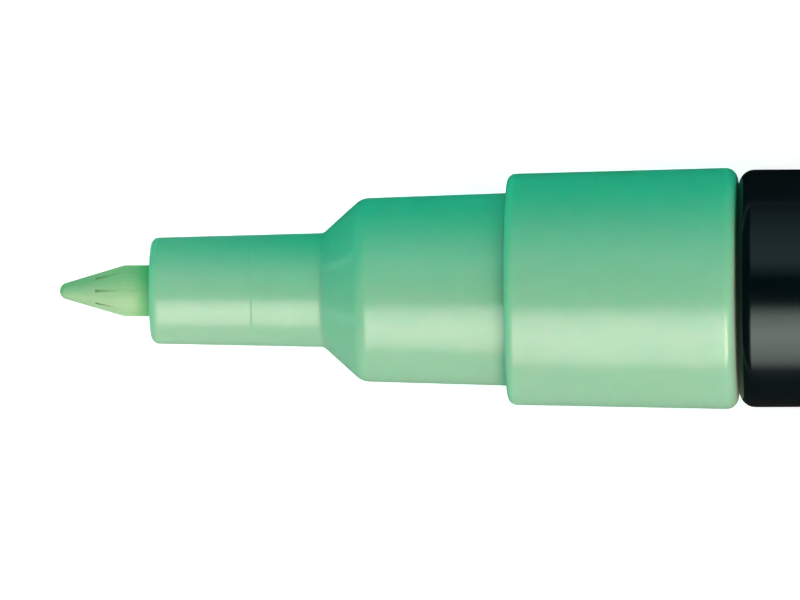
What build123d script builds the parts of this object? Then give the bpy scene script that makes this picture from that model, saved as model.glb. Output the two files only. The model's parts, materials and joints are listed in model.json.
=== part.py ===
from build123d import *

import os
from math import cos, dist, pi, radians, sin, sqrt, tan

# Acrylic paint marker with a press-to-flow nib, lying along X with its nib towards -X.
# Its axis is the X axis, its cap is posted on its tail, and the origin is the middle of its length.
# All sizes are in millimetres and degrees.

# Barrel, and the steps in radius from it forward to the collar and to the cap's seat on the nose
BARREL_DIAMETER = 12.0
BARREL_LENGTH = 88.0
BARREL_WALL = 1.0
BARREL_FRONT_ROUND = 0.8
BARREL_REAR_ROUND = 0.15
COLLAR_PROUD = 0.1
COLLAR_DRAFT = 0.27
SEAT_INSET = 0.965
SEAT_DRAFT = 0.24

# Nib: a hard capillary rod with a ball end
NIB_DIAMETER = 2.58
NIB_EXPOSED = 4.56
NIB_TIP_RADIUS = 0.43
NIB_CONE_HALF_ANGLE = 16.5
NIB_CLEARANCE = 0.06
NIB_TAIL_CHAMFER = 0.2
CHANNEL_COUNT = 8
CHANNEL_WIDTH = 0.13
CHANNEL_DEPTH = 0.24
CHANNEL_SKIN = 0.17
PRESS_TRAVEL = 1.5
PRESS_STOP_GAP = 0.05

# Nose: a slim drafted sleeve, a short cone and the seat that the cap grips
SLEEVE_LENGTH = 8.8
SLEEVE_DIAMETER = 5.76
SLEEVE_DRAFT = 0.2
FACE_DOME = 0.1
FACE_ROUND = 0.42
CONE_LENGTH = 1.94
CONE_FOOT_ROUND = 0.4
CONE_TOP_ROUND = 1.0
SEAT_LENGTH = 7.37
SEAM_CHAMFER = 0.12
GUIDE_LENGTH = 2.5
GUIDE_RELIEF = 0.45
CHAMBER_SETBACK = 0.3
SHOULDER_STEP = 0.565
NOSE_SPIGOT_WALL = 0.6
NOSE_SPIGOT_LENGTH = 6.9
NOSE_BEAD_SETBACK = 3.5

# Snap beads, the fits between fixed pieces and the play left at their blind ends
BEAD_WIDTH = 1.0
BEAD_HEIGHT = 0.15
BEAD_SLOPE = 0.3
FIT_CLEARANCE = 0.02
END_GAP = 0.1

# Paint buffer ring and nib carrier, inside the nose
PAD_LENGTH = 4.5
PAD_NIB_CLEARANCE = 0.25
PAD_GAP = 0.3
CARRIER_SLIDE_CLEARANCE = 0.1
CARRIER_FLANGE = 1.2
CARRIER_BODY_DIAMETER = 4.4
CARRIER_BACK = 1.0
CARRIER_PORT_RADIUS = 0.6
CARRIER_FLOW_COUNT = 4
CARRIER_FLOW_RADIUS = 0.6
CARRIER_NOTCH_WIDTH = 0.8
CARRIER_NOTCH_DEPTH = 0.6

# Collar: the wide drafted ring between nose and barrel, with a spigot in the barrel
COLLAR_LENGTH = 11.68
COLLAR_FRONT_ROUND = 0.45
COLLAR_REAR_ROUND = 0.6
COLLAR_SPIGOT_LENGTH = 7.67
COLLAR_SPIGOT_WALL = 1.06
COLLAR_BEAD_SETBACK = 5.4
WEB_THICKNESS = 0.8
WEB_OPENING_RADIUS = 1.8
SEAL_SETBACK = 2.4
SEAL_WIDTH = 1.2
SEAL_DEPTH = 0.45

# Valve: housing, rubber seat, stem, spring and spring cage
HOUSING_WALL = 0.6
HOUSING_PLATE = 1.2
SEAT_HOLE_CLEARANCE = 0.4
WASHER_THICKNESS = 0.9
STEM_PIN_RADIUS = 0.8
STEM_HEAD_CLEARANCE = 0.7
STEM_HEAD_THICKNESS = 1.2
STEM_HEAD_CHAMFER = 0.3
STEM_GUIDE_ENTRY = 0.5
STEM_GUIDE_CLEARANCE = 0.2
SPRING_LENGTH = 6.0
SPRING_PIN_CLEARANCE = 0.35
SPRING_WIRE = 0.4
SPRING_TURNS = 5
SPRING_SEAT_GAP = 0.01
SPRING_ARC_PAIRS_PER_TURN = 4
SPRING_POINTS_PER_TURN = 48
CAGE_THICKNESS = 1.6
CAGE_FLOW_COUNT = 4
CAGE_LAND = 0.45

# Tail plug with its six-sided ring that stops the marker rolling away, and the mixing ball
PLUG_LENGTH = 8.0
PLUG_WALL = 1.125
PLUG_END_WALL = 1.2
PLUG_END_ROUND = 0.5
RING_THICKNESS = 2.0
RING_SIDES = 6
RING_CORNER_ROUND = 1.5
RING_EDGE_ROUND = 0.25
BALL_DIAMETER = 5.0
BALL_GAP = 0.05
BALL_STOP_GAP = 0.3

# Cap and its inner liner
CAP_CLEARANCE = 0.05
CAP_MOUTH_WALL = 0.915
CAP_REAR_WALL = 0.925
CAP_END_WALL = 1.6
CAP_END_ROUND = 1.2
CAP_MOUTH_ROUND = 0.25
CAP_TIP_GAP = 2.35
LINER_LENGTH = 12.0
LINER_WALL = 0.5
LINER_BOTTOM = 1.0
LINER_FLANGE = 1.2
LINER_CLEARANCE = 0.07

# Lengths that follow from the ones above
front_length = NIB_EXPOSED + SLEEVE_LENGTH + CONE_LENGTH + SEAT_LENGTH
cap_length = front_length + CAP_TIP_GAP + CAP_END_WALL
overall_length = front_length + COLLAR_LENGTH + BARREL_LENGTH + RING_THICKNESS + cap_length

# Stations along X, from the nib's tip to the cap's end
x_tip = -overall_length / 2
x_face = x_tip + NIB_EXPOSED
x_cone = x_face + SLEEVE_LENGTH
x_seat = x_cone + CONE_LENGTH
x_shoulder = x_seat + SEAT_LENGTH
x_barrel = x_shoulder + COLLAR_LENGTH
x_tail = x_barrel + BARREL_LENGTH
x_cap_mouth = x_tail + RING_THICKNESS
x_spigot_end = x_cap_mouth + SEAT_LENGTH
x_cap_end = x_cap_mouth + cap_length
x_cap_floor = x_cap_end - CAP_END_WALL

# Stations inside the nose, the collar and the barrel
x_chamber = x_seat + CHAMBER_SETBACK
x_pad_rear = x_chamber + PAD_LENGTH
x_carrier = x_pad_rear + PAD_GAP
x_nose_rear = x_shoulder + NOSE_SPIGOT_LENGTH
x_nose_bead = x_shoulder + NOSE_BEAD_SETBACK
x_web = x_nose_rear + END_GAP
x_carrier_rear = x_web - PRESS_STOP_GAP - PRESS_TRAVEL
x_nib_rear = x_carrier_rear - CARRIER_BACK
x_web_rear = x_web + WEB_THICKNESS
x_plate_rear = x_web_rear + HOUSING_PLATE
x_washer_rear = x_plate_rear + WASHER_THICKNESS
x_head_rear = x_washer_rear + STEM_HEAD_THICKNESS
x_cage = x_head_rear + SPRING_LENGTH
x_stem_rear = x_cage - PRESS_TRAVEL + STEM_GUIDE_ENTRY
x_cage_rear = x_cage + CAGE_THICKNESS
x_collar_rear = x_barrel + COLLAR_SPIGOT_LENGTH
x_seal = x_barrel + SEAL_SETBACK
x_collar_bead = x_barrel + COLLAR_BEAD_SETBACK
x_plug = x_tail - PLUG_LENGTH

# Outside radii, stepping from the barrel forward to the nib
barrel_radius = BARREL_DIAMETER / 2
collar_rear_radius = barrel_radius + COLLAR_PROUD
collar_front_radius = collar_rear_radius - COLLAR_DRAFT
seat_rear_radius = collar_front_radius - SEAT_INSET
seat_front_radius = seat_rear_radius - SEAT_DRAFT
sleeve_rear_radius = SLEEVE_DIAMETER / 2
sleeve_front_radius = sleeve_rear_radius - SLEEVE_DRAFT
nib_radius = NIB_DIAMETER / 2

# Radii shared by pieces that fit together
guide_radius = nib_radius + NIB_CLEARANCE
nose_spigot_radius = seat_rear_radius - SHOULDER_STEP
chamber_radius = nose_spigot_radius - NOSE_SPIGOT_WALL
carrier_radius = chamber_radius - CARRIER_SLIDE_CLEARANCE
carrier_body_radius = CARRIER_BODY_DIAMETER / 2
carrier_bore = nib_radius + FIT_CLEARANCE
collar_front_bore = nose_spigot_radius + FIT_CLEARANCE
barrel_bore = barrel_radius - BARREL_WALL
collar_spigot_radius = barrel_bore - FIT_CLEARANCE
collar_rear_bore = collar_spigot_radius - COLLAR_SPIGOT_WALL
seal_floor_radius = collar_spigot_radius - SEAL_DEPTH
housing_radius = collar_rear_bore - FIT_CLEARANCE
cavity_radius = housing_radius - HOUSING_WALL
seat_hole_radius = STEM_PIN_RADIUS + SEAT_HOLE_CLEARANCE
head_radius = cavity_radius - STEM_HEAD_CLEARANCE
spring_radius = STEM_PIN_RADIUS + SPRING_PIN_CLEARANCE + SPRING_WIRE / 2
cage_radius = cavity_radius - FIT_CLEARANCE
cage_bore = STEM_PIN_RADIUS + STEM_GUIDE_CLEARANCE
cage_flow_circle = (cage_radius + cage_bore) / 2
cage_flow_radius = (cage_radius - cage_bore) / 2 - CAGE_LAND
plug_radius = barrel_bore - FIT_CLEARANCE
plug_bore = seat_front_radius - PLUG_WALL
cap_mouth_bore = seat_rear_radius + CAP_CLEARANCE
cap_mouth_radius = cap_mouth_bore + CAP_MOUTH_WALL
cap_bore = seat_front_radius + CAP_CLEARANCE
cap_end_radius = cap_bore + CAP_REAR_WALL
liner_bore = sleeve_rear_radius + LINER_CLEARANCE
liner_radius = liner_bore + LINER_WALL


def corner(section, x, radius):
    """The corner of a half-section that lies nearest to station x at that radius."""
    return section.vertices().sort_by_distance((x, radius))[0]


def bead(x, radius, clearance=0.0):
    """Four corners, front to back, of a snap bead on a turned surface, or of its groove with a clearance."""
    half = BEAD_WIDTH / 2 + clearance
    top = half - BEAD_SLOPE
    base = radius + clearance
    return [
        (x - half, base),
        (x - top, base + BEAD_HEIGHT),
        (x + top, base + BEAD_HEIGHT),
        (x + half, base),
    ]


# Nib: ball end, ground cone and rod
channel_outer = nib_radius - CHANNEL_SKIN
cone_angle = radians(NIB_CONE_HALF_ANGLE)
ball_tangent_x = x_tip + NIB_TIP_RADIUS * (1 - sin(cone_angle))
ball_tangent_radius = NIB_TIP_RADIUS * cos(cone_angle)
x_nib_rod = ball_tangent_x + (nib_radius - ball_tangent_radius) / tan(cone_angle)

with BuildPart() as nib:
    with BuildSketch(Plane.XZ) as nib_section:
        with BuildLine():
            CenterArc((x_tip + NIB_TIP_RADIUS, 0), NIB_TIP_RADIUS, 180, NIB_CONE_HALF_ANGLE - 90)
            Polyline(
                (ball_tangent_x, ball_tangent_radius),
                (x_nib_rod, nib_radius),
                (x_nib_rear, nib_radius),
                (x_nib_rear, 0),
                (x_tip, 0),
            )
        make_face()
        chamfer(corner(nib_section, x_nib_rear, nib_radius), NIB_TAIL_CHAMFER)
    revolve(axis=Axis.X)
    # Capillary channels run the whole length inside the skin, and the cone lays them open as slits.
    with BuildSketch(Plane.YZ.offset(x_tip)):
        with PolarLocations(channel_outer - CHANNEL_DEPTH / 2, CHANNEL_COUNT):
            Rectangle(CHANNEL_DEPTH, CHANNEL_WIDTH)
    extrude(amount=x_nib_rear - x_tip, mode=Mode.SUBTRACT)

# Nose: the nib's guide in front, the paint chamber behind, and a snap spigot for the collar
with BuildPart() as nose:
    with BuildSketch(Plane.XZ) as nose_section:
        with BuildLine():
            Polyline(
                (x_face, guide_radius),
                (x_face + FACE_DOME, sleeve_front_radius),
                (x_cone, sleeve_rear_radius),
                (x_seat, seat_front_radius),
                (x_shoulder, seat_rear_radius),
                (x_shoulder, nose_spigot_radius),
                *bead(x_nose_bead, nose_spigot_radius),
                (x_nose_rear, nose_spigot_radius),
                (x_nose_rear, chamber_radius),
                (x_chamber, chamber_radius),
                (x_chamber, guide_radius + GUIDE_RELIEF),
                (x_face + GUIDE_LENGTH, guide_radius + GUIDE_RELIEF),
                (x_face + GUIDE_LENGTH, guide_radius),
                close=True,
            )
        make_face()
        fillet(corner(nose_section, x_face + FACE_DOME, sleeve_front_radius), FACE_ROUND)
        fillet(corner(nose_section, x_cone, sleeve_rear_radius), CONE_FOOT_ROUND)
        fillet(corner(nose_section, x_seat, seat_front_radius), CONE_TOP_ROUND)
        chamfer(corner(nose_section, x_shoulder, seat_rear_radius), SEAM_CHAMFER)
    revolve(axis=Axis.X)

# Buffer pad: a fibre ring that soaks up surplus paint around the nib
with BuildPart() as buffer_pad:
    with BuildSketch(Plane.YZ.offset(x_chamber)):
        Circle(chamber_radius - FIT_CLEARANCE)
        Circle(nib_radius + PAD_NIB_CLEARANCE, mode=Mode.SUBTRACT)
    extrude(amount=PAD_LENGTH)

# Nib carrier: a flanged socket that slides in the chamber, pushes the stem and stops against the web
with BuildPart() as nib_carrier:
    with BuildSketch(Plane.XZ):
        with BuildLine():
            Polyline(
                (x_carrier, carrier_bore),
                (x_carrier, carrier_radius),
                (x_carrier + CARRIER_FLANGE, carrier_radius),
                (x_carrier + CARRIER_FLANGE, carrier_body_radius),
                (x_carrier_rear, carrier_body_radius),
                (x_carrier_rear, 0),
                (x_nib_rear, 0),
                (x_nib_rear, carrier_bore),
                close=True,
            )
        make_face()
    revolve(axis=Axis.X)
    # Paint passes the flange through round notches in its rim.
    with BuildSketch(Plane.YZ.offset(x_carrier)):
        with PolarLocations(carrier_radius, CARRIER_FLOW_COUNT):
            Circle(CARRIER_FLOW_RADIUS)
    extrude(amount=CARRIER_FLANGE, mode=Mode.SUBTRACT)
    # A cross port lets paint reach the nib's tail end.
    with BuildSketch(Plane.XZ):
        with Locations((x_nib_rear - CARRIER_PORT_RADIUS, 0)):
            Circle(CARRIER_PORT_RADIUS)
    extrude(amount=CARRIER_BODY_DIAMETER, both=True, mode=Mode.SUBTRACT)
    # A notch across the back keeps the paint's way open when the carrier is pressed against the web.
    with BuildSketch(Plane.YZ.offset(x_carrier_rear)):
        Rectangle(CARRIER_BODY_DIAMETER, CARRIER_NOTCH_WIDTH)
    extrude(amount=-CARRIER_NOTCH_DEPTH, mode=Mode.SUBTRACT)

# Collar: drafted outside, bored for the nose in front and for the valve housing behind
with BuildPart() as collar:
    with BuildSketch(Plane.XZ) as collar_section:
        with BuildLine():
            Polyline(
                (x_shoulder, collar_front_bore),
                (x_shoulder, collar_front_radius),
                (x_barrel, collar_rear_radius),
                (x_barrel, collar_spigot_radius),
                (x_seal, collar_spigot_radius),
                (x_seal, seal_floor_radius),
                (x_seal + SEAL_WIDTH, seal_floor_radius),
                (x_seal + SEAL_WIDTH, collar_spigot_radius),
                *bead(x_collar_bead, collar_spigot_radius),
                (x_collar_rear, collar_spigot_radius),
                (x_collar_rear, collar_rear_bore),
                (x_web_rear, collar_rear_bore),
                (x_web_rear, WEB_OPENING_RADIUS),
                (x_web, WEB_OPENING_RADIUS),
                (x_web, collar_front_bore),
                *reversed(bead(x_nose_bead, nose_spigot_radius, FIT_CLEARANCE)),
                close=True,
            )
        make_face()
        fillet(corner(collar_section, x_shoulder, collar_front_radius), COLLAR_FRONT_ROUND)
        fillet(corner(collar_section, x_barrel, collar_rear_radius), COLLAR_REAR_ROUND)
    revolve(axis=Axis.X)

# Collar seal: a square-section ring in the spigot's groove, against the barrel's bore
with BuildPart() as collar_seal:
    with BuildSketch(Plane.YZ.offset(x_seal + FIT_CLEARANCE)):
        Circle(barrel_bore - FIT_CLEARANCE / 2)
        Circle(seal_floor_radius + FIT_CLEARANCE / 2, mode=Mode.SUBTRACT)
    extrude(amount=SEAL_WIDTH - 2 * FIT_CLEARANCE)

# Valve housing: a cup pressed into the collar, with the seat hole in its front plate
with BuildPart() as valve_housing:
    with BuildSketch(Plane.XZ):
        with BuildLine():
            Polyline(
                (x_web_rear, seat_hole_radius),
                (x_web_rear, housing_radius),
                (x_cage_rear, housing_radius),
                (x_cage_rear, cavity_radius),
                (x_plate_rear, cavity_radius),
                (x_plate_rear, seat_hole_radius),
                close=True,
            )
        make_face()
    revolve(axis=Axis.X)

# Valve seat: a rubber washer behind the front plate
with BuildPart() as valve_seat:
    with BuildSketch(Plane.YZ.offset(x_plate_rear)):
        Circle(cavity_radius - FIT_CLEARANCE)
        Circle(seat_hole_radius, mode=Mode.SUBTRACT)
    extrude(amount=WASHER_THICKNESS)

# Valve stem: a push pin, the head that closes the seat, and the pin that guides the spring
with BuildPart() as valve_stem:
    with BuildSketch(Plane.XZ) as stem_section:
        with BuildLine():
            Polyline(
                (x_carrier_rear, 0),
                (x_carrier_rear, STEM_PIN_RADIUS),
                (x_washer_rear, STEM_PIN_RADIUS),
                (x_washer_rear, head_radius),
                (x_head_rear, head_radius),
                (x_head_rear, STEM_PIN_RADIUS),
                (x_stem_rear, STEM_PIN_RADIUS),
                (x_stem_rear, 0),
                close=True,
            )
        make_face()
        chamfer(corner(stem_section, x_head_rear, head_radius), STEM_HEAD_CHAMFER)
    revolve(axis=Axis.X)

# Valve spring: an open-ended coil between the stem's head and the cage
x_spring = x_head_rear + SPRING_SEAT_GAP + SPRING_WIRE / 2
spring_rise = SPRING_LENGTH - SPRING_WIRE - 2 * SPRING_SEAT_GAP
spring_pitch = spring_rise / SPRING_TURNS


def spring_point(turn):
    """Point of the spring's centre line after that many turns."""
    angle = 2 * pi * turn
    return Vector(
        x_spring + spring_pitch * turn, spring_radius * cos(angle), spring_radius * sin(angle)
    )


def spring_direction(turn):
    """Direction of the spring's centre line after that many turns."""
    angle = 2 * pi * turn
    around = 2 * pi * spring_radius
    return Vector(spring_pitch, -around * sin(angle), around * cos(angle)).normalized()


def biarc_joint(start, start_direction, end, end_direction):
    """Point where two arcs that keep both end directions meet, and their direction there."""
    chord = end - start
    along = start_direction + end_direction
    spread = 2 * (1 - start_direction.dot(end_direction))
    reach = (sqrt(chord.dot(along) ** 2 + spread * chord.dot(chord)) - chord.dot(along)) / spread
    first = start + start_direction * reach
    second = end - end_direction * reach
    return (first + second) * 0.5, (second - first).normalized()


with BuildPart() as valve_spring:
    with BuildLine() as coil:
        for pair in range(SPRING_TURNS * SPRING_ARC_PAIRS_PER_TURN):
            begin = pair / SPRING_ARC_PAIRS_PER_TURN
            finish = (pair + 1) / SPRING_ARC_PAIRS_PER_TURN
            joint, joint_direction = biarc_joint(
                spring_point(begin), spring_direction(begin), spring_point(finish), spring_direction(finish)
            )
            TangentArc(spring_point(begin), joint, tangent=spring_direction(begin))
            TangentArc(joint, spring_point(finish), tangent=joint_direction)
    with BuildSketch(Plane(origin=spring_point(0), z_dir=spring_direction(0))):
        Circle(SPRING_WIRE / 2)
    sweep()

point_count = SPRING_TURNS * SPRING_POINTS_PER_TURN + 1
spring_line = [tuple(spring_point(i / SPRING_POINTS_PER_TURN)) for i in range(point_count)]
least_gap = min(
    dist(spring_line[i], spring_line[j]) - SPRING_WIRE
    for i in range(point_count)
    for j in range(i + SPRING_POINTS_PER_TURN // 2, point_count)
)
print("valve spring: least gap between turns", round(least_gap, 3), "mm")

# Spring cage: a drilled disc that holds the spring and lets paint in from the barrel
with BuildPart() as spring_cage:
    with BuildSketch(Plane.YZ.offset(x_cage)):
        Circle(cage_radius)
        Circle(cage_bore, mode=Mode.SUBTRACT)
        with PolarLocations(cage_flow_circle, CAGE_FLOW_COUNT):
            Circle(cage_flow_radius, mode=Mode.SUBTRACT)
    extrude(amount=CAGE_THICKNESS)

# Barrel: the paint reservoir, with a snap groove for the collar
with BuildPart() as barrel:
    with BuildSketch(Plane.XZ) as barrel_section:
        with BuildLine():
            Polyline(
                (x_barrel, barrel_bore),
                (x_barrel, barrel_radius),
                (x_tail, barrel_radius),
                (x_tail, barrel_bore),
                *reversed(bead(x_collar_bead, collar_spigot_radius, FIT_CLEARANCE)),
                close=True,
            )
        make_face()
        fillet(corner(barrel_section, x_barrel, barrel_radius), BARREL_FRONT_ROUND)
        fillet(corner(barrel_section, x_tail, barrel_radius), BARREL_REAR_ROUND)
    revolve(axis=Axis.X)

# Tail plug: closes the barrel, keeps the marker from rolling and carries the cap on a copy of its seat
with BuildPart() as tail_plug:
    with BuildSketch(Plane.YZ.offset(x_tail)) as ring_outline:
        RegularPolygon(collar_rear_radius, RING_SIDES, major_radius=False)
        fillet(ring_outline.vertices(), RING_CORNER_ROUND)
    extrude(amount=RING_THICKNESS)
    fillet(tail_plug.faces().filter_by(Axis.X).edges(), RING_EDGE_ROUND)
    with BuildSketch(Plane.XZ) as plug_section:
        with BuildLine():
            Polyline(
                (x_plug, 0),
                (x_plug, plug_radius),
                (x_cap_mouth, plug_radius),
                (x_cap_mouth, seat_rear_radius),
                (x_spigot_end, seat_front_radius),
                (x_spigot_end, 0),
                close=True,
            )
        make_face()
        fillet(corner(plug_section, x_spigot_end, seat_front_radius), PLUG_END_ROUND)
    revolve(axis=Axis.X)
    with BuildSketch(Plane.YZ.offset(x_plug)):
        Circle(plug_bore)
    extrude(amount=x_spigot_end - PLUG_END_WALL - x_plug, mode=Mode.SUBTRACT)

# Mixing ball: loose in the barrel, lying on its lower side at the front end of its run
x_ball = max(x_collar_rear, x_cage_rear) + BALL_STOP_GAP + BALL_DIAMETER / 2
z_ball = -(barrel_bore - BALL_GAP - BALL_DIAMETER / 2)

with BuildPart() as mixing_ball:
    with Locations((x_ball, 0, z_ball)):
        Sphere(BALL_DIAMETER / 2)

# Cap shell: its bore follows the drafted seat, then runs straight to the floor
with BuildPart() as cap_shell:
    with BuildSketch(Plane.XZ) as cap_section:
        with BuildLine():
            Polyline(
                (x_cap_mouth, cap_mouth_bore),
                (x_cap_mouth, cap_mouth_radius),
                (x_cap_end, cap_end_radius),
                (x_cap_end, 0),
                (x_cap_floor, 0),
                (x_cap_floor, cap_bore),
                (x_spigot_end, cap_bore),
                close=True,
            )
        make_face()
        fillet(corner(cap_section, x_cap_mouth, cap_mouth_radius), CAP_MOUTH_ROUND)
        fillet(corner(cap_section, x_cap_end, cap_end_radius), CAP_END_ROUND)
    revolve(axis=Axis.X)

# Cap liner: a soft inner cup that seals on the nose's sleeve when the cap is on
x_liner = x_cap_floor - LINER_LENGTH

with BuildPart() as cap_liner:
    with BuildSketch(Plane.XZ):
        with BuildLine():
            Polyline(
                (x_liner, liner_bore),
                (x_liner, cap_bore - FIT_CLEARANCE),
                (x_liner + LINER_FLANGE, cap_bore - FIT_CLEARANCE),
                (x_liner + LINER_FLANGE, liner_radius),
                (x_cap_floor, liner_radius),
                (x_cap_floor, 0),
                (x_cap_floor - LINER_BOTTOM, 0),
                (x_cap_floor - LINER_BOTTOM, liner_bore),
                close=True,
            )
        make_face()
    revolve(axis=Axis.X)

pieces = {
    "nib": nib,
    "nose": nose,
    "buffer_pad": buffer_pad,
    "nib_carrier": nib_carrier,
    "collar": collar,
    "collar_seal": collar_seal,
    "valve_housing": valve_housing,
    "valve_seat": valve_seat,
    "valve_stem": valve_stem,
    "valve_spring": valve_spring,
    "spring_cage": spring_cage,
    "barrel": barrel,
    "tail_plug": tail_plug,
    "mixing_ball": mixing_ball,
    "cap_shell": cap_shell,
    "cap_liner": cap_liner,
}

os.makedirs("parts", exist_ok=True)
for name, piece in pieces.items():
    piece.part.label = name
    export_step(piece.part, f"parts/{name}.step")
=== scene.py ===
import json
from math import asin, atan, cos, pi, radians, sin, sqrt, tan

import bmesh
import bpy
from mathutils import Matrix, Vector


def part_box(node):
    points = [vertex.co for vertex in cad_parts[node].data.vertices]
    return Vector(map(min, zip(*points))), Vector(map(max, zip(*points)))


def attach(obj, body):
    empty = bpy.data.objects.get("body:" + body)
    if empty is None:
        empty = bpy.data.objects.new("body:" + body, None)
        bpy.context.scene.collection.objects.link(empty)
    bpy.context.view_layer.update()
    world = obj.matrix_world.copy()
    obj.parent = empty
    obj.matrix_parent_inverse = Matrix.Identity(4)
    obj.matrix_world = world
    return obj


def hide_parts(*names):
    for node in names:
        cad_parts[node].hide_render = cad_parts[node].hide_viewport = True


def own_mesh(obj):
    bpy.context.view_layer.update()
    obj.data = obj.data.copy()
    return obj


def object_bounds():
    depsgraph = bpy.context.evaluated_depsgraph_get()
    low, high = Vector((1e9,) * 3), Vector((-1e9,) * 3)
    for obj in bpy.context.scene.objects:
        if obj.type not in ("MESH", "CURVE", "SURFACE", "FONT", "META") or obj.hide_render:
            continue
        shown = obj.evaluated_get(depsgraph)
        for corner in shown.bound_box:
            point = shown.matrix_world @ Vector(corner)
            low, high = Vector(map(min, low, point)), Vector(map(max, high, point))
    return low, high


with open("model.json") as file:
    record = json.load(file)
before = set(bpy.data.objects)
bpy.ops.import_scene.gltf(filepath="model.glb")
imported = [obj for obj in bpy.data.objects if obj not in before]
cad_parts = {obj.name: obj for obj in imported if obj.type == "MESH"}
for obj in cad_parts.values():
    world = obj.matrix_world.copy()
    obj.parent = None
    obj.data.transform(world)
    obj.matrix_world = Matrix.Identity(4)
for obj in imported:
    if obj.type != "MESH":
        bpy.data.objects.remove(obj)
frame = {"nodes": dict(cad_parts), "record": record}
cad_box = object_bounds()

# A press-to-flow paint marker lies along X on a white studio floor, with its nib on the left.
# Stations and radii are in millimetres, and stations count along the marker from the nib's tip.
MM = 0.001
TIP_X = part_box("nib")[0].x


def station(x):
    """Millimetres from the nib's tip to that x of the frame."""
    return (x - TIP_X) / MM


def span(node):
    """First and last station of a CAD node."""
    lowest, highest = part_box(node)
    return station(lowest.x), station(highest.x)


# Stations that the solids give
NOSE_FACE, NOSE_REAR = span("nose")
SHOULDER, COLLAR_REAR = span("collar")
BARREL_FRONT, TAIL = span("barrel")
PLUG_FRONT, SPIGOT_END = span("tail_plug")
CAP_MOUTH, CAP_END = span("cap_shell")
LINER_MOUTH, CAP_FLOOR = span("cap_liner")
NIB_REAR = span("nib")[1]
CHAMBER = span("buffer_pad")[0]
WEB_REAR = span("valve_housing")[0]
SEAL_FRONT, SEAL_REAR = span("collar_seal")
HEAD_REAR, CAGE_FRONT = span("valve_spring")

# Nib
NIB_RADIUS = 1.29
NIB_TIP_RADIUS = 0.43
NIB_CONE_ANGLE = radians(16.5)
SLIT_COUNT = 8
SLIT_WIDTH = 0.16
SLIT_END_WIDTH = 0.06
SLIT_DEPTH = 0.09
SLIT_START_RADIUS = 0.865
SLIT_END_RADIUS = 1.12
SINK_DEPTH = 0.006
STAIN_AND_SHADE_BEYOND_FACE = 0.6

# Share of paint in the slits, at each ring of the nib from their start to its rear
SLIT_PAINT = (0.2, 0.8, 0.45, 0.3, 0.15, 0.0)

# Nose
GUIDE_RADIUS = 1.35
GUIDE_MOUTH_ROUND = 0.08
GUIDE_LENGTH = 2.5
RELIEF_RADIUS = 1.8
FACE_DOME = 0.1
FACE_ROUND = 0.42
SLEEVE_LENGTH = 8.8
SLEEVE_FRONT_RADIUS = 2.68
SLEEVE_REAR_RADIUS = 2.88
WITNESS_SETBACK = 3.58
WITNESS_WIDTH = 0.09
WITNESS_DEPTH = 0.008
WITNESS_ROUND = 0.2
CONE_LENGTH = 1.94
CONE_FOOT_ROUND = 0.4
CONE_TOP_ROUND = 1.0
SEAT_FRONT_RADIUS = 4.625
SEAT_REAR_RADIUS = 4.865
SEAM_ROUND = 0.02
NOSE_SPIGOT_RADIUS = 4.3
CHAMBER_RADIUS = 3.7
HIDDEN_ROUND = 0.1

# Collar
COLLAR_FRONT_RADIUS = 5.83
COLLAR_REAR_RADIUS = 6.1
COLLAR_FRONT_ROUND = 0.45
COLLAR_REAR_ROUND = 0.6
RIM_LEAN = 0.09
COLLAR_BORE = 4.32
COLLAR_SPIGOT_RADIUS = 4.98
COLLAR_REAR_BORE = 3.92
SEAL_FLOOR_RADIUS = 4.53
WEB_THICKNESS = 0.8
WEB_OPENING_RADIUS = 1.8
FIT = 0.02

# Barrel and tail plug
BARREL_RADIUS = 6.0
BARREL_BORE = 5.0
BARREL_FRONT_ROUND = 0.8
BARREL_REAR_ROUND = 0.15
BORE_ROUND = 0.1
PLUG_RADIUS = 4.98
PLUG_BORE = 3.5
PLUG_END_WALL = 1.2
PLUG_END_ROUND = 0.5
RING_SIDES = 6
RING_CORNER_ROUND = 1.5
RING_EDGE_ROUND = 0.25

# Cap
CAP_MOUTH_BORE = 4.915
CAP_MOUTH_RADIUS = 5.83
CAP_MOUTH_ROUND = 0.25
CAP_BORE = 4.675
CAP_END_RADIUS = 5.6
CAP_END_ROUND = 1.2
LINER_BORE = 2.95
LINER_RADIUS = 3.45
LINER_FLANGE = 1.2
LINER_BOTTOM = 1.0
LINER_ROUND = 0.12

# Valve spring
SPRING_RADIUS = 1.35
SPRING_WIRE = 0.4
SPRING_TURNS = 5
SPRING_STEPS_PER_TURN = 40
WIRE_SIDES = 14

# Fineness of the meshes; points closer than the merge distance, in metres, are one
SEGMENTS = 240
ARC_STEPS = 10
HOLD = 0.02
SHARP_ANGLE = radians(35)
MERGE_DISTANCE = 1e-8


def rounded(corners):
    """Points of a closed outline with corners (station, radius, round), where each round is a true arc.

    A point on the straight just before and after each arc keeps the arc's shading off the straight.
    """
    points = []
    for index, (x, r, radius) in enumerate(corners):
        here = Vector((x, r))
        if radius == 0:
            points.append(here)
            continue
        back = (Vector(corners[index - 1][:2]) - here).normalized()
        ahead = (Vector(corners[(index + 1) % len(corners)][:2]) - here).normalized()
        half = back.angle(ahead) / 2
        centre = here + (back + ahead).normalized() * (radius / sin(half))
        reach = radius / tan(half)
        start = here + back * reach - centre
        turn = pi - 2 * half
        if back.cross(ahead) > 0:
            turn = -turn
        points.append(here + back * (reach + HOLD))
        for step in range(ARC_STEPS + 1):
            angle = turn * step / ARC_STEPS
            points.append(centre + Vector((
                start.x * cos(angle) - start.y * sin(angle),
                start.x * sin(angle) + start.y * cos(angle),
            )))
        points.append(here + ahead * (reach + HOLD))
    return points


def place(x, radius, angle):
    """Point of the frame at a station, and at a radius and angle round the axis, from +Y towards +Z."""
    return (TIP_X + x * MM, radius * cos(angle) * MM, radius * sin(angle) * MM)


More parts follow.
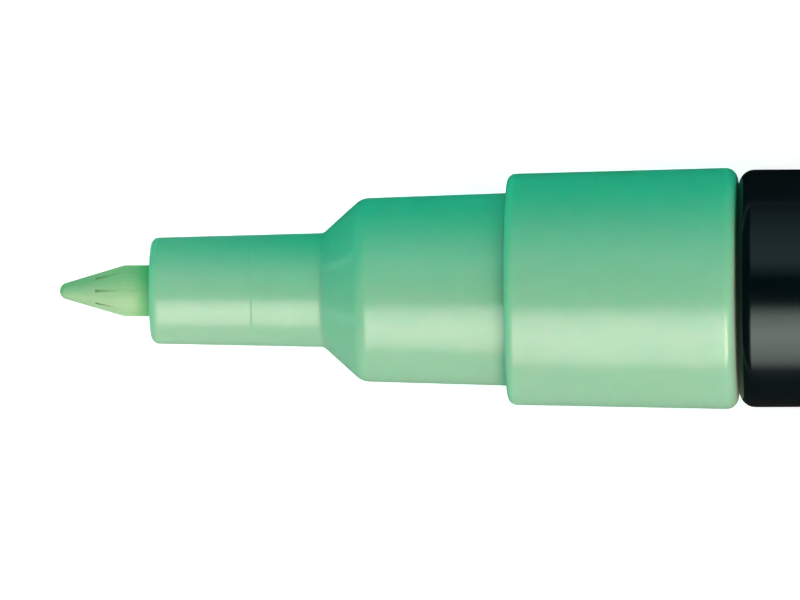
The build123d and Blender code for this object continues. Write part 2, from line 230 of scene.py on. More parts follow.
def bridge(mesh, first, second):
    """Faces between two rings of as many vertices, where a single vertex stands for a ring on the axis."""
    count = max(len(first), len(second))
    if count == 1:
        return
    for i in range(count):
        j = (i + 1) % count
        near = [first[i % len(first)], first[j % len(first)]]
        far = [second[j % len(second)], second[i % len(second)]]
        mesh.faces.new(list(dict.fromkeys(near + far)))


def finished(name, mesh):
    """Scene object with the mesh's faces turned outwards and its curved faces shaded smooth."""
    bmesh.ops.recalc_face_normals(mesh, faces=mesh.faces)
    data = bpy.data.meshes.new(name)
    mesh.to_mesh(data)
    mesh.free()
    data.shade_smooth()
    data.set_sharp_from_angle(angle=SHARP_ANGLE)
    piece = bpy.data.objects.new(name, data)
    bpy.context.scene.collection.objects.link(piece)
    return piece


def turned(name, corners, shape=None):
    """Solid of revolution about the marker's axis; shape(radius, angle) may change a ring's radius."""
    mesh = bmesh.new()
    rings = []
    for x, r in rounded(corners):
        if r == 0:
            rings.append([mesh.verts.new(place(x, 0, 0))])
            continue
        ring = []
        for i in range(SEGMENTS):
            angle = 2 * pi * i / SEGMENTS
            ring.append(mesh.verts.new(place(x, shape(r, angle) if shape else r, angle)))
        rings.append(ring)
    for first, second in zip(rings, rings[1:] + rings[:1]):
        bridge(mesh, first, second)
    return finished(name, mesh)


def fit_out(piece, node, body, material):
    """Puts a piece in a CAD node's place: it rides on the node's body and takes its slot and a material."""
    piece.data.materials.append(material)
    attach(piece, body)
    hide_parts(node)
    return piece


# Nib
def nib_rings():
    """Rings of the nib as (station, radius, slit floor radius, slit width, share of paint in the slit)."""
    tangent_x = NIB_TIP_RADIUS * (1 - sin(NIB_CONE_ANGLE))
    tangent_r = NIB_TIP_RADIUS * cos(NIB_CONE_ANGLE)

    def on_cone(radius):
        return tangent_x + (radius - tangent_r) / tan(NIB_CONE_ANGLE)

    rings = []
    for step in range(1, ARC_STEPS + 1):
        turn = (pi / 2 - NIB_CONE_ANGLE) * step / ARC_STEPS
        radius = NIB_TIP_RADIUS * sin(turn)
        rings.append((NIB_TIP_RADIUS * (1 - cos(turn)), radius, radius, SLIT_WIDTH, 0.0))
    slit_rings = (
        (on_cone(SLIT_START_RADIUS), SLIT_START_RADIUS, 0, SLIT_WIDTH),
        (on_cone(SLIT_START_RADIUS), SLIT_START_RADIUS, SLIT_DEPTH, SLIT_WIDTH),
        (on_cone(SLIT_END_RADIUS), SLIT_END_RADIUS, SINK_DEPTH, SLIT_END_WIDTH),
        (on_cone(NIB_RADIUS), NIB_RADIUS, SINK_DEPTH, SLIT_END_WIDTH),
        (NOSE_FACE, NIB_RADIUS, SINK_DEPTH / 2, SLIT_END_WIDTH),
        (NIB_REAR, NIB_RADIUS, SINK_DEPTH / 2, SLIT_END_WIDTH),
    )
    for (x, radius, depth, width), share in zip(slit_rings, SLIT_PAINT):
        rings.append((x, radius, radius - depth, width, share))
    return rings


def make_nib(material):
    """Capillary rod with a ball end, whose channels open as slits on the cone and sink the skin behind."""
    mesh = bmesh.new()
    paint = mesh.verts.layers.float.new("paint")
    steps = SEGMENTS // SLIT_COUNT
    rings = [[mesh.verts.new(place(0, 0, 0))]]
    for x, radius, floor, width, share in nib_rings():
        lip = asin(width / 2 / max(radius, SLIT_START_RADIUS))
        foot = asin(width / 2 / max(floor, SLIT_START_RADIUS))
        ring = []
        for slit in range(SLIT_COUNT):
            middle = 2 * pi * (slit / SLIT_COUNT + 1 / 4)
            for angle in (middle - foot, middle + foot):
                vertex = mesh.verts.new(place(x, floor, angle))
                vertex[paint] = share
                ring.append(vertex)
            for step in range(steps + 1):
                land = 2 * pi / SLIT_COUNT - 2 * lip
                ring.append(mesh.verts.new(place(x, radius, middle + lip + land * step / steps)))
        rings.append(ring)
    rings.append([mesh.verts.new(place(NIB_REAR, 0, 0))])
    for first, second in zip(rings, rings[1:]):
        bridge(mesh, first, second)
    bmesh.ops.remove_doubles(mesh, verts=mesh.verts, dist=MERGE_DISTANCE)
    return fit_out(finished("nib_rod", mesh), "nib", "pump", material)


# Nose, collar and cap
def make_nose(material):
    """Slim sleeve with a hairline witness ring, short cone, cap seat and the spigot inside the collar."""
    cone = NOSE_FACE + SLEEVE_LENGTH
    seat = cone + CONE_LENGTH
    witness = cone - WITNESS_SETBACK
    slope = (SLEEVE_REAR_RADIUS - SLEEVE_FRONT_RADIUS) / SLEEVE_LENGTH
    witness_radius = SLEEVE_REAR_RADIUS - slope * WITNESS_SETBACK
    guide_end = NOSE_FACE + GUIDE_LENGTH
    return fit_out(turned("nose_cone", [
        (NOSE_FACE, GUIDE_RADIUS, GUIDE_MOUTH_ROUND),
        (NOSE_FACE + FACE_DOME, SLEEVE_FRONT_RADIUS, FACE_ROUND),
        (witness - WITNESS_WIDTH, witness_radius - slope * WITNESS_WIDTH, WITNESS_ROUND),
        (witness, witness_radius - WITNESS_DEPTH, WITNESS_ROUND),
        (witness + WITNESS_WIDTH, witness_radius + slope * WITNESS_WIDTH, WITNESS_ROUND),
        (cone, SLEEVE_REAR_RADIUS, CONE_FOOT_ROUND),
        (seat, SEAT_FRONT_RADIUS, CONE_TOP_ROUND),
        (SHOULDER, SEAT_REAR_RADIUS, SEAM_ROUND),
        (SHOULDER, NOSE_SPIGOT_RADIUS, 0),
        (NOSE_REAR, NOSE_SPIGOT_RADIUS, HIDDEN_ROUND),
        (NOSE_REAR, CHAMBER_RADIUS, HIDDEN_ROUND),
        (CHAMBER, CHAMBER_RADIUS, 0),
        (CHAMBER, RELIEF_RADIUS, 0),
        (guide_end, RELIEF_RADIUS, 0),
        (guide_end, GUIDE_RADIUS, 0),
    ]), "nose", "barrel", material)


def make_collar(material):
    """Wide drafted ring whose rear rim leans away from the barrel, with its web, seal groove and spigot."""
    web = WEB_REAR - WEB_THICKNESS
    return fit_out(turned("collar_ring", [
        (SHOULDER, COLLAR_BORE, 0),
        (SHOULDER, COLLAR_FRONT_RADIUS, COLLAR_FRONT_ROUND),
        (BARREL_FRONT - RIM_LEAN, COLLAR_REAR_RADIUS, COLLAR_REAR_ROUND),
        (BARREL_FRONT, COLLAR_SPIGOT_RADIUS, 0),
        (SEAL_FRONT - FIT, COLLAR_SPIGOT_RADIUS, 0),
        (SEAL_FRONT - FIT, SEAL_FLOOR_RADIUS, 0),
        (SEAL_REAR + FIT, SEAL_FLOOR_RADIUS, 0),
        (SEAL_REAR + FIT, COLLAR_SPIGOT_RADIUS, 0),
        (COLLAR_REAR, COLLAR_SPIGOT_RADIUS, HIDDEN_ROUND),
        (COLLAR_REAR, COLLAR_REAR_BORE, HIDDEN_ROUND),
        (WEB_REAR, COLLAR_REAR_BORE, 0),
        (WEB_REAR, WEB_OPENING_RADIUS, 0),
        (web, WEB_OPENING_RADIUS, 0),
        (web, COLLAR_BORE, 0),
    ]), "collar", "barrel", material)


def make_cap(material):
    """Outer cap whose bore follows the drafted seat and then runs straight to its floor."""
    return fit_out(turned("cap_body", [
        (CAP_MOUTH, CAP_MOUTH_BORE, 0),
        (CAP_MOUTH, CAP_MOUTH_RADIUS, CAP_MOUTH_ROUND),
        (CAP_END, CAP_END_RADIUS, CAP_END_ROUND),
        (CAP_END, 0, 0),
        (CAP_FLOOR, 0, 0),
        (CAP_FLOOR, CAP_BORE, 0),
        (SPIGOT_END, CAP_BORE, 0),
    ]), "cap_shell", "cap", material)


def make_liner(material):
    """Soft inner cup of the cap, with a flange at its mouth."""
    return fit_out(turned("liner_cup", [
        (LINER_MOUTH, LINER_BORE, LINER_ROUND),
        (LINER_MOUTH, CAP_BORE - FIT, LINER_ROUND),
        (LINER_MOUTH + LINER_FLANGE, CAP_BORE - FIT, LINER_ROUND),
        (LINER_MOUTH + LINER_FLANGE, LINER_RADIUS, LINER_ROUND),
        (CAP_FLOOR, LINER_RADIUS, LINER_ROUND),
        (CAP_FLOOR, 0, 0),
        (CAP_FLOOR - LINER_BOTTOM, 0, 0),
        (CAP_FLOOR - LINER_BOTTOM, LINER_BORE, LINER_ROUND),
    ]), "cap_liner", "cap", material)


# Barrel and tail plug
def make_barrel(material):
    """Plain glossy tube with a well rounded front rim that leans away from the collar."""
    return fit_out(turned("barrel_tube", [
        (BARREL_FRONT, BARREL_BORE, BORE_ROUND),
        (BARREL_FRONT + RIM_LEAN, BARREL_RADIUS, BARREL_FRONT_ROUND),
        (TAIL, BARREL_RADIUS, BARREL_REAR_ROUND),
        (TAIL, BARREL_BORE, BORE_ROUND),
    ]), "barrel", "barrel", material)


def ring_shape(flat_radius, angle):
    """Radius of the tail plug at that angle: a six-sided ring with rounded corners, and round elsewhere."""
    if flat_radius <= PLUG_RADIUS:
        return flat_radius
    half_side = pi / RING_SIDES
    from_flat = (angle - pi / 2 + half_side) % (2 * half_side) - half_side
    from_corner = half_side - abs(from_flat)
    corner_centre = (flat_radius - RING_CORNER_ROUND) / cos(half_side)
    if flat_radius * tan(abs(from_flat)) < (flat_radius - RING_CORNER_ROUND) * tan(half_side):
        return flat_radius / cos(from_flat)
    beside = corner_centre * sin(from_corner)
    return corner_centre * cos(from_corner) + sqrt(RING_CORNER_ROUND**2 - beside**2)


def make_tail_plug(material):
    """Hollow plug with the six-sided ring that stops rolling and the spigot that carries the cap."""
    return fit_out(turned("tail_plug_body", [
        (PLUG_FRONT, PLUG_BORE, HIDDEN_ROUND),
        (PLUG_FRONT, PLUG_RADIUS, HIDDEN_ROUND),
        (TAIL, PLUG_RADIUS, 0),
        (TAIL, COLLAR_REAR_RADIUS, RING_EDGE_ROUND),
        (CAP_MOUTH, COLLAR_REAR_RADIUS, RING_EDGE_ROUND),
        (CAP_MOUTH, SEAT_REAR_RADIUS, 0),
        (SPIGOT_END, SEAT_FRONT_RADIUS, PLUG_END_ROUND),
        (SPIGOT_END, 0, 0),
        (SPIGOT_END - PLUG_END_WALL, 0, 0),
        (SPIGOT_END - PLUG_END_WALL, PLUG_BORE, HIDDEN_ROUND),
    ], ring_shape), "tail_plug", "barrel", material)


# Valve spring
def make_spring(material):
    """Open coil between the stem's head and the cage; it shortens as the nib is pressed."""
    mesh = bmesh.new()
    wire = SPRING_WIRE / 2
    rise = CAGE_FRONT - HEAD_REAR - SPRING_WIRE
    lead = atan(rise / SPRING_TURNS / (2 * pi * SPRING_RADIUS))
    count = SPRING_TURNS * SPRING_STEPS_PER_TURN
    rings = []
    for step in range(count + 1):
        angle = 2 * pi * step / SPRING_STEPS_PER_TURN
        x = HEAD_REAR + wire + rise * step / count
        outward = Vector((0, cos(angle), sin(angle)))
        upward = Vector((cos(lead), sin(lead) * sin(angle), -sin(lead) * cos(angle)))
        centre = Vector(place(x, SPRING_RADIUS, angle))
        ring = []
        for side in range(WIRE_SIDES):
            turn = 2 * pi * side / WIRE_SIDES
            ring.append(mesh.verts.new(centre + (outward * cos(turn) + upward * sin(turn)) * wire * MM))
        rings.append(ring)
    for first, second in zip(rings, rings[1:]):
        bridge(mesh, first, second)
    mesh.faces.new(rings[0])
    mesh.faces.new(rings[-1])
    piece = fit_out(finished("spring_coil", mesh), "valve_spring", "barrel", material)
    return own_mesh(piece)


# Materials; the Mix node has a set of sockets for each kind of data, and these carry colours
MIX_FIRST, MIX_SECOND, MIX_RESULT = 6, 7, 2


class Paint:
    """A material under construction: its Principled shader and short calls for the nodes that feed it."""

    def __init__(self, name, **sockets):
        self.material = bpy.data.materials.new(name)
        self.material.use_nodes = True
        self.nodes = self.material.node_tree.nodes
        self.links = self.material.node_tree.links
        self.shader = self.nodes["Principled BSDF"]
        for socket, value in sockets.items():
            self.shader.inputs[socket.replace("_", " ")].default_value = value
        self.coordinates = self.nodes.new("ShaderNodeTexCoord").outputs["Object"]

    def link(self, source, target):
        self.links.new(source, target)

    def stretched(self, scale):
        """Object coordinates, in metres, times a factor for each axis."""
        mapping = self.nodes.new("ShaderNodeMapping")
        mapping.inputs["Scale"].default_value = scale
        self.link(self.coordinates, mapping.inputs["Vector"])
        return mapping.outputs["Vector"]

    def along(self, first, last):
        """Share of the way from one station of the marker to another."""
        parts = self.nodes.new("ShaderNodeSeparateXYZ")
        self.link(self.coordinates, parts.inputs["Vector"])
        return self.spread(parts.outputs["X"], 0, 1, TIP_X + first * MM, TIP_X + last * MM)

    def noise(self, scale, detail=3.0, stretch=(1, 1, 1)):
        """Noise with that many features to the metre."""
        texture = self.nodes.new("ShaderNodeTexNoise")
        texture.inputs["Scale"].default_value = scale
        texture.inputs["Detail"].default_value = detail
        self.link(self.stretched(stretch), texture.inputs["Vector"])
        return texture.outputs["Fac"]

    def spread(self, value, low, high, first=0.35, last=0.65):
        """A value mapped from its usual range to another one."""
        node = self.nodes.new("ShaderNodeMapRange")
        node.inputs["From Min"].default_value = first
        node.inputs["From Max"].default_value = last
        node.inputs["To Min"].default_value = low
        node.inputs["To Max"].default_value = high
        self.link(value, node.inputs["Value"])
        return node.outputs["Result"]

    def mix(self, factor, first, second):
        """Blend of two colours, each a colour or an output."""
        node = self.nodes.new("ShaderNodeMix")
        node.data_type = "RGBA"
        self.link(factor, node.inputs["Factor"])
        for socket, colour in ((node.inputs[MIX_FIRST], first), (node.inputs[MIX_SECOND], second)):
            if isinstance(colour, tuple):
                socket.default_value = (*colour, 1)
            else:
                self.link(colour, socket)
        return node.outputs[MIX_RESULT]

    def colour(self, output):
        self.link(output, self.shader.inputs["Base Color"])

    def roughness(self, output):
        self.link(output, self.shader.inputs["Roughness"])

    def bump(self, height, depth):
        """Fine relief of that depth in metres."""
        node = self.nodes.new("ShaderNodeBump")
        node.inputs["Distance"].default_value = depth
        self.link(height, node.inputs["Height"])
        self.link(node.outputs["Normal"], self.shader.inputs["Normal"])


def green_plastic():
    """Satin plastic that lets some green light through, with faint flow marks and the sleeve painted paler
    towards the nib as painted light.
    """
    paint = Paint("green_plastic", IOR=3.4, Specular_Tint=(1.0, 0.8, 0.7, 1.0), Coat_Weight=0.58,
                  Coat_Roughness=0.12, Coat_IOR=1.54, Subsurface_Weight=1.0,
                  Subsurface_Radius=(0.2, 1.0, 0.6), Subsurface_Scale=0.0012)
    flow = paint.noise(180, stretch=(0.35, 1, 1))
    moulded = paint.mix(paint.spread(flow, 0, 1), (0.0005, 0.445, 0.234), (0.002, 0.463, 0.248))
    # Painted light: the sleeve is coloured paler towards the nib, standing in for more light falling on it
    # there.
    painted_light_pale = (0.056, 0.480, 0.268)
    paint.colour(paint.mix(paint.along(NOSE_FACE, NOSE_FACE + SLEEVE_LENGTH), painted_light_pale, moulded))
    paint.roughness(paint.spread(paint.noise(900), 0.90, 0.95))
    paint.bump(paint.noise(5200, 2.0), 0.0000015)
    return paint.material


def black_plastic():
    """Glossy black moulding with a very fine surface ripple and faint handling marks."""
    paint = Paint("black_plastic", IOR=1.36, Specular_Tint=(0.70, 1.0, 0.93, 1.0))
    clouds = paint.spread(paint.noise(240), 0, 1)
    paint.colour(paint.mix(clouds, (0.0004, 0.0032, 0.0040), (0.0012, 0.0046, 0.0055)))
    scuffs = paint.noise(2600, 4.0, stretch=(0.08, 1, 1))
    paint.roughness(paint.spread(scuffs, 0.16, 0.21, 0.4, 0.75))
    paint.bump(paint.noise(3800, 2.0), 0.000001)
    return paint.material


def nib_plastic():
    """Pale stained rod: fuller green tip, root darker with paint and painted shade, darker paint in slits,
    fine lengthwise streaks.
    """
    paint = Paint("nib_fibre", IOR=3.15, Specular_Tint=(1.0, 0.8, 0.7, 1.0), Subsurface_Weight=0.4,
                  Subsurface_Radius=(0.3, 1.0, 0.5), Subsurface_Scale=0.0005)
    # Tip to root: fuller green from paint at the tip; towards the root darker green from paint and painted
    # shade where the nib goes into the nose.
    stain_and_shade = paint.nodes.new("ShaderNodeValToRGB")
    length = NOSE_FACE + STAIN_AND_SHADE_BEYOND_FACE
    paint.link(paint.along(0, length), stain_and_shade.inputs["Fac"])
    stops = stain_and_shade.color_ramp.elements
    stops[0].color = (0.11, 0.46, 0.21, 1)
    stops[1].color = (0.03, 0.44, 0.13, 1)
    between = (
        (1.45, (0.13, 0.48, 0.22)),
        (1.75, (0.16, 0.50, 0.23)),
        (3.45, (0.16, 0.53, 0.23)),
        (3.95, (0.13, 0.53, 0.21)),
        (4.35, (0.03, 0.53, 0.16)),
    )
    for place_along, colour in between:
        stops.new(place_along / length).color = (*colour, 1)
    streaks = paint.spread(paint.noise(9000, 3.0, stretch=(0.04, 1, 1)), 0.0, 0.35)
    streaked = paint.mix(streaks, stain_and_shade.outputs["Color"], (0.08, 0.43, 0.16))
    soak = paint.nodes.new("ShaderNodeAttribute")
    soak.attribute_name = "paint"
    paint.colour(paint.mix(soak.outputs["Fac"], streaked, (0.07, 0.30, 0.11)))
    paint.roughness(paint.spread(paint.noise(3000), 0.80, 0.88))
    paint.bump(paint.noise(12000, 2.0, stretch=(0.1, 1, 1)), 0.000004)
    return paint.material


def natural_plastic():
    """Uncoloured translucent moulding with cloudy variation."""
    paint = Paint("natural_plastic", IOR=1.5, Subsurface_Weight=0.7, Subsurface_Radius=(1.0, 0.95, 0.85),
                  Subsurface_Scale=0.0012)
    paint.colour(paint.mix(paint.spread(paint.noise(350), 0, 1), (0.74, 0.74, 0.69), (0.82, 0.82, 0.78)))
    paint.roughness(paint.spread(paint.noise(1200), 0.32, 0.42))
    paint.bump(paint.noise(5000), 0.000002)
    return paint.material


def felt():
    """Bonded fibre soaked with a little paint."""
    paint = Paint("felt", Roughness=0.95, Sheen_Weight=0.3)
    fibres = paint.noise(5200, 6.0, stretch=(1, 0.35, 0.35))
    paint.colour(paint.mix(paint.spread(fibres, 0, 1), (0.42, 0.60, 0.46), (0.72, 0.76, 0.68)))
    paint.bump(fibres, 0.00006)
    return paint.material


def rubber():
    """Matt black rubber with a fine grain."""
    paint = Paint("rubber", IOR=1.5)
    grain = paint.spread(paint.noise(1500), 0, 1)
    paint.colour(paint.mix(grain, (0.020, 0.020, 0.021), (0.040, 0.040, 0.041)))
    paint.roughness(paint.spread(paint.noise(2500), 0.60, 0.75))
    paint.bump(paint.noise(9000), 0.000004)
    return paint.material


def spring_steel():
    """Drawn stainless wire with marks across the coil."""
    paint = Paint("spring_steel", Metallic=1.0)
    marks = paint.noise(6000, 4.0, stretch=(1, 0.2, 0.2))
    paint.colour(paint.mix(paint.spread(marks, 0, 1), (0.52, 0.52, 0.50), (0.66, 0.66, 0.64)))
    paint.roughness(paint.spread(marks, 0.22, 0.34))
    paint.bump(marks, 0.000002)
    return paint.material


def ball_steel():
    """Ground steel ball with faint lapping marks."""
    paint = Paint("ball_steel", Metallic=1.0)
    laps = paint.noise(1800, 5.0)
    paint.colour(paint.mix(paint.spread(laps, 0, 1), (0.62, 0.62, 0.62), (0.72, 0.72, 0.72)))
    paint.roughness(paint.spread(laps, 0.08, 0.16))
    return paint.material


def dress():
    """Builds the pieces that show, and gives every other CAD node its material."""
    materials = {
        "nib_fibre": nib_plastic(),
        "green_plastic": green_plastic(),
        "black_plastic": black_plastic(),
        "natural_plastic": natural_plastic(),
        "felt": felt(),
        "rubber": rubber(),
        "spring_steel": spring_steel(),
        "ball_steel": ball_steel(),
    }
    make_nib(materials["nib_fibre"])
    make_nose(materials["green_plastic"])
    make_collar(materials["green_plastic"])
    make_cap(materials["green_plastic"])
    make_liner(materials["natural_plastic"])
    make_barrel(materials["black_plastic"])
    make_tail_plug(materials["black_plastic"])
    make_spring(materials["spring_steel"])
    for part in frame["record"]["subparts"]:
        node = frame["nodes"][part["node"]]
        for slot in node.material_slots:
            slot.material = materials[part["material_slot"]]


# Studio, in metres
FLOOR_Z = cad_box[0].z
FLOOR_HALF = 6.0
FLOOR_GREY = 0.8
FLOOR_GLOW = 0.5
LAMP_LEVEL = 1.08
LAMP_SPREAD = radians(176)
LIGHT_DISTANCE = 0.5
LIGHT_FRONT = -0.13
KEY_FRONT = 0.06
KEY_REAR = 0.27
FILL_REAR = 0.0
LIGHT_REAR = 1.5
LIGHT_HIGH = radians(9)
LIGHT_LOW = radians(90)

# Cards: the low ones start this far from the marker's axis, and lie a little above the floor
FLAG_GREY = 0.004
FLAG_START = 0.004
FLAG_HALF = 0.25
FLAG_LIFT = 0.0004

# Radiance and colour of the softboxes, and how they fade from upper to lower edge as (place, share);
# the rear softbox has the key's fade and colour
MAIN_RADIANCE = 8.4
MAIN_FADE = (
    (0.0, 0.0), (0.11, 0.03), (0.19, 0.40), (0.3, 0.80), (0.46, 1.0),
    (0.64, 0.8), (0.77, 0.55), (0.87, 0.2), (0.95, 0.0),
)
MAIN_COLOUR = (1.0, 0.86, 0.80)
KEY_RADIANCE = 12.5
REAR_RADIANCE = 2.0
KEY_FADE = ((0.0, 0.0), (0.18, 0.0), (0.36, 1.0), (0.76, 1.0), (0.94, 0.0))
KEY_COLOUR = (1.0, 0.9, 0.78)
FILL_RADIANCE = 0.97
FILL_FADE = (
    (0.0, 0.0), (0.12, 0.45), (0.23, 1.0), (0.37, 1.0),
    (0.55, 0.68), (0.75, 0.38), (0.94, 0.14), (1.0, 0.0),
)
FILL_COLOUR = (0.92, 1.0, 1.17)


def plane(name, centre, across, along):
    """Flat rectangle of the studio between the ends of two half-length vectors."""
    mesh = bpy.data.meshes.new(name)
    corners = [centre + across * i + along * j for i, j in ((-1, -1), (1, -1), (1, 1), (-1, 1))]
    mesh.from_pydata(corners, [], [(0, 1, 2, 3)])
    panel = bpy.data.objects.new(name, mesh)
    bpy.context.scene.collection.objects.link(panel)
    return panel


def lengthwise(front, rear):
    """Middle and half-length, along X, of what reaches from one x to another."""
    return Vector(((front + rear) / 2, 0, 0)), Vector(((rear - front) / 2, 0, 0))


def light_slope(side):
    """Middle and half-length of the slope that softboxes stand in, on the side of that sign of Y."""
    high = Vector((0, side * sin(LIGHT_HIGH), cos(LIGHT_HIGH))) * LIGHT_DISTANCE
    low = Vector((0, side * sin(LIGHT_LOW), cos(LIGHT_LOW))) * LIGHT_DISTANCE
    return (high + low) / 2, (low - high) / 2


def seen_directly(tree):
    """Value 1 on camera, glossy and transmission rays, and 0 on the rays that light the object."""
    path = tree.nodes.new("ShaderNodeLightPath")
    total = path.outputs["Is Camera Ray"]
    for ray in ("Is Glossy Ray", "Is Transmission Ray"):
        larger = tree.nodes.new("ShaderNodeMath")
        larger.operation = "MAXIMUM"
        tree.links.new(total, larger.inputs[0])
        tree.links.new(path.outputs[ray], larger.inputs[1])
        total = larger.outputs["Value"]
    return total


def scaled(tree, value, low, high):
    """A value from 0 to 1 mapped to low and high."""
    node = tree.nodes.new("ShaderNodeMapRange")
    node.inputs["To Min"].default_value = low
    node.inputs["To Max"].default_value = high
    tree.links.new(value, node.inputs["Value"])
    return node.outputs["Result"]


def make_floor():
    """White floor that glows where it is looked at and still takes the marker's shadow."""
    panel = plane("floor", Vector((0, 0, FLOOR_Z)), Vector((FLOOR_HALF, 0, 0)), Vector((0, FLOOR_HALF, 0)))
    material = bpy.data.materials.new("floor_white")
    material.use_nodes = True
    tree = material.node_tree
    tree.nodes.remove(tree.nodes["Principled BSDF"])
    diffuse = tree.nodes.new("ShaderNodeBsdfDiffuse")
    diffuse.inputs["Color"].default_value = (FLOOR_GREY, FLOOR_GREY, FLOOR_GREY, 1)
    glow = tree.nodes.new("ShaderNodeEmission")
    tree.links.new(scaled(tree, seen_directly(tree), 0, FLOOR_GLOW), glow.inputs["Strength"])
    both = tree.nodes.new("ShaderNodeAddShader")
    tree.links.new(diffuse.outputs["BSDF"], both.inputs[0])
    tree.links.new(glow.outputs["Emission"], both.inputs[1])
    tree.links.new(both.outputs["Shader"], tree.nodes["Material Output"].inputs["Surface"])
    panel.data.materials.append(material)
    # A light table: the lamp below shines up through it
    panel.visible_shadow = False
    panel.visible_diffuse = False


def make_world():
    """White surroundings that are seen and reflected; the lamps do the lighting."""
    world = bpy.data.worlds.new("studio")
    world.use_nodes = True
    tree = world.node_tree
    background = tree.nodes["Background"]
    background.inputs["Color"].default_value = (1, 1, 1, 1)
    tree.links.new(seen_directly(tree), background.inputs["Strength"])
    bpy.context.scene.world = world


def make_lamp(name, turn):
    """Half a sphere of even light, turned about X, for all but the gloss, which softboxes give."""
    data = bpy.data.lights.new(name, "SUN")
    data.energy = LAMP_LEVEL * pi
    data.angle = LAMP_SPREAD
    data.cycles.use_multiple_importance_sampling = False
    lamp = bpy.data.objects.new(name, data)
    lamp.rotation_euler = (turn, 0, 0)
    lamp.visible_glossy = False
    bpy.context.scene.collection.objects.link(lamp)


def make_softbox(name, side, front, rear, radiance, fade, colour):
    """Graded softbox beside the marker, on the side of that sign of Y, that gives surfaces their gloss."""
    middle, half = lengthwise(front, rear)
    centre, down = light_slope(side)
    box = plane(name, middle + centre, half, down)
    material = bpy.data.materials.new(name)
    material.use_nodes = True
    tree = material.node_tree
    tree.nodes.remove(tree.nodes["Principled BSDF"])
    generated = tree.nodes.new("ShaderNodeTexCoord").outputs["Generated"]
    parts = tree.nodes.new("ShaderNodeSeparateXYZ")
    tree.links.new(generated, parts.inputs["Vector"])
    downwards = scaled(tree, parts.outputs["Z"], 1, 0)
    ramp = tree.nodes.new("ShaderNodeValToRGB")
    ramp.color_ramp.interpolation = "EASE"
    stops = ramp.color_ramp.elements
    stops.remove(stops[1])
    for index, (position, share) in enumerate(fade):
        stop = stops[0] if index == 0 else stops.new(position)
        stop.position = position
        stop.color = (share, share, share, 1)
    tree.links.new(downwards, ramp.inputs["Fac"])
    strength = scaled(tree, ramp.outputs["Color"], 0, radiance)
    glow = tree.nodes.new("ShaderNodeEmission")
    glow.inputs["Color"].default_value = (*colour, 1)
    tree.links.new(strength, glow.inputs["Strength"])
    tree.links.new(glow.outputs["Emission"], tree.nodes["Material Output"].inputs["Surface"])
    box.data.materials.append(material)
    box.visible_camera = False
    box.visible_diffuse = False
    box.visible_shadow = False


def make_flag(name, centre, across, along, material):
    """Black card that only reflections see, as a studio sets one beside a glossy object."""
    card = plane(name, centre, across, along)
    card.data.materials.append(material)
    card.visible_camera = False
    card.visible_diffuse = False
    card.visible_transmission = False
    card.visible_shadow = False


def make_flags():
    """Cards that keep reflections dark: overhead, low on both sides, beyond the fill, ahead of the nib."""
    material = bpy.data.materials.new("flag_black")
    material.use_nodes = True
    shader = material.node_tree.nodes["Principled BSDF"]
    shader.inputs["Base Color"].default_value = (FLAG_GREY, FLAG_GREY, FLAG_GREY, 1)
    shader.inputs["Roughness"].default_value = 1.0
    above = Vector((0, 0, LIGHT_DISTANCE))
    low = FLOOR_Z + FLAG_LIFT
    middle, half = lengthwise(LIGHT_FRONT, LIGHT_REAR)
    reach = Vector((0, LIGHT_DISTANCE * tan(LIGHT_HIGH), 0))
    make_flag("flag_above", middle + above, half, reach, material)
    for name, side in (("flag_low_right", -1), ("flag_low_left", 1)):
        beside = Vector((0, side * (FLAG_START + FLAG_HALF), low))
        make_flag(name, middle + beside, half, Vector((0, FLAG_HALF, 0)), material)
    middle, half = lengthwise(FILL_REAR, LIGHT_REAR)
    centre, down = light_slope(1)
    make_flag("flag_rear", middle + centre, half, down, material)
    middle, half = lengthwise(LIGHT_FRONT, TIP_X)
    make_flag("flag_low_front", middle + Vector((0, 0, low)), half, Vector((0, FLAG_START, 0)), material)
    middle = Vector((LIGHT_FRONT, 0, 0)) + above / 2
    make_flag("flag_front", middle, Vector((0, LIGHT_DISTANCE, 0)), above / 2, material)


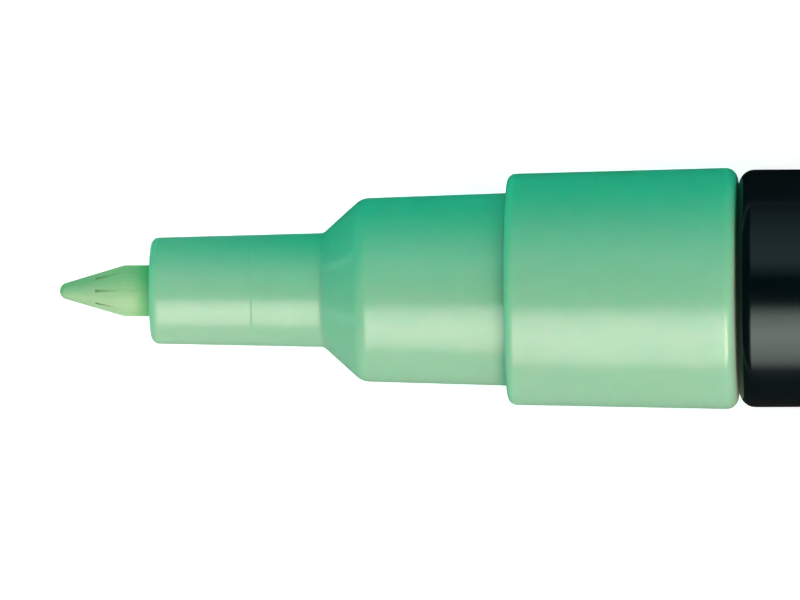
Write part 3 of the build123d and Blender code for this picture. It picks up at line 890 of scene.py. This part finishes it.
# Camera: the photograph's view, in its pixels
IMAGE_WIDTH, IMAGE_HEIGHT = 800, 600
PIXELS_PER_MM = 19.783
TIP_PIXEL = (59.8, 291.05)
CAMERA_DISTANCE = 1.2
CAMERA_LEAN = radians(2.7)
CAMERA_ROLL = radians(0.22)
SENSOR_WIDTH = 36.0


def make_camera():
    """Long lens above the marker, leaning a little towards the barrel, with the nib's tip on its pixel."""
    data = bpy.data.cameras.new("camera")
    data.sensor_width = SENSOR_WIDTH
    data.lens = SENSOR_WIDTH * CAMERA_DISTANCE / (IMAGE_WIDTH / PIXELS_PER_MM * MM)
    camera = bpy.data.objects.new("camera", data)
    back = Vector((sin(CAMERA_LEAN), 0, cos(CAMERA_LEAN)))
    level = Vector((cos(CAMERA_LEAN), 0, -sin(CAMERA_LEAN)))
    upright = back.cross(level)
    right = level * cos(CAMERA_ROLL) - upright * sin(CAMERA_ROLL)
    up = level * sin(CAMERA_ROLL) + upright * cos(CAMERA_ROLL)
    across = (TIP_PIXEL[0] - IMAGE_WIDTH / 2) / PIXELS_PER_MM * MM
    above = (IMAGE_HEIGHT / 2 - TIP_PIXEL[1]) / PIXELS_PER_MM * MM
    target = Vector((TIP_X, 0, 0)) - right * across - up * above
    camera.matrix_world = Matrix.LocRotScale(
        target + back * CAMERA_DISTANCE, Matrix((right, up, back)).transposed(), None
    )
    bpy.context.scene.collection.objects.link(camera)
    bpy.context.scene.camera = camera


dress()
make_floor()
make_world()
make_lamp("lamp_above", 0)
make_lamp("lamp_below", pi)
make_softbox("softbox_main", -1, LIGHT_FRONT, KEY_FRONT, MAIN_RADIANCE, MAIN_FADE, MAIN_COLOUR)
make_softbox("softbox_key", -1, KEY_FRONT, KEY_REAR, KEY_RADIANCE, KEY_FADE, KEY_COLOUR)
make_softbox("softbox_rear", -1, KEY_REAR, LIGHT_REAR, REAR_RADIANCE, KEY_FADE, KEY_COLOUR)
make_softbox("softbox_fill", 1, LIGHT_FRONT, FILL_REAR, FILL_RADIANCE, FILL_FADE, FILL_COLOUR)
make_flags()
make_camera()
bpy.context.scene.view_settings.view_transform = "Standard"
